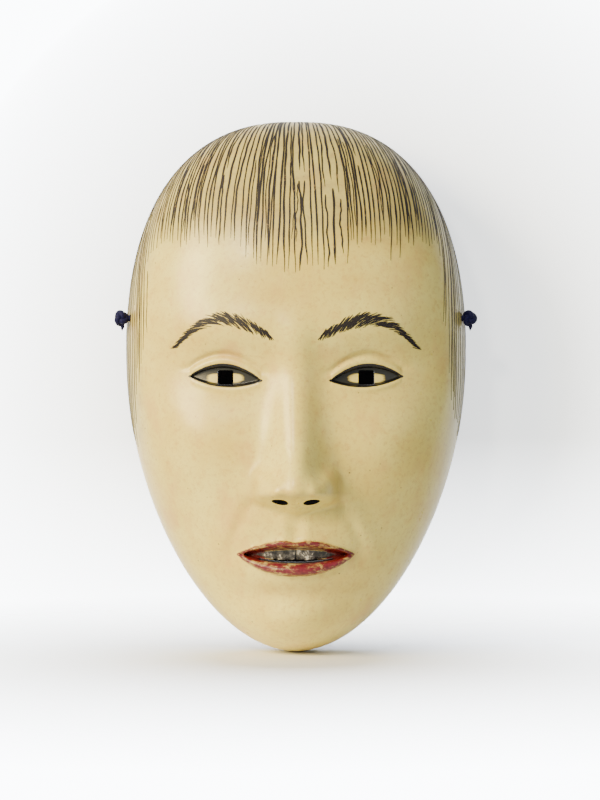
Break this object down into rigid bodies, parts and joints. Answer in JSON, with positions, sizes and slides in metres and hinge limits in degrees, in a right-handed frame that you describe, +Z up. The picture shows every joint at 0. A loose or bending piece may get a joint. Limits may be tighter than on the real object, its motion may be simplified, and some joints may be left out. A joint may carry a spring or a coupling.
{
  "type": "noh mask",
  "caption": "Carved wooden theatre mask with a hollow back, pierced eyes, nose and mouth, fitting pads inside, and two silk tying cords.",
  "frame": {"origin": "below the chin's lowest point, on the mask's centre plane, halfway between the nose's tip and the flat back rim", "axes": "+Z up towards the crown, the face looks to -Y, the flat back rim faces +Y, +X is the viewer's right"},
  "size_m": [0.1434, 0.0703, 0.212],
  "materials": {
    "gofun_on_wood": "carved cypress under warm ivory shell-white paint, burnished to a low satin sheen, with painted hair, brows and lips; dark lacquer inside",
    "cotton": "undyed cotton cloth over wadding, matte",
    "silk_cord": "round braided silk, dark navy blue, soft sheen",
    "paper_band": "folded band of mulberry paper, matte"
  },
  "bodies": {
    "root": {"mask_shell": "gofun_on_wood", "forehead_pad": "cotton", "cheek_pad_right": "cotton", "cheek_pad_left": "cotton", "stop_knot_right": "silk_cord", "stop_knot_left": "silk_cord", "cord_right": "silk_cord", "cord_left": "silk_cord", "hank_right": "silk_cord", "hank_left": "silk_cord", "end_knot_right": "silk_cord", "end_knot_left": "silk_cord", "hank_tie_right": "paper_band", "hank_tie_left": "paper_band"}
  },
  "joints": []
}
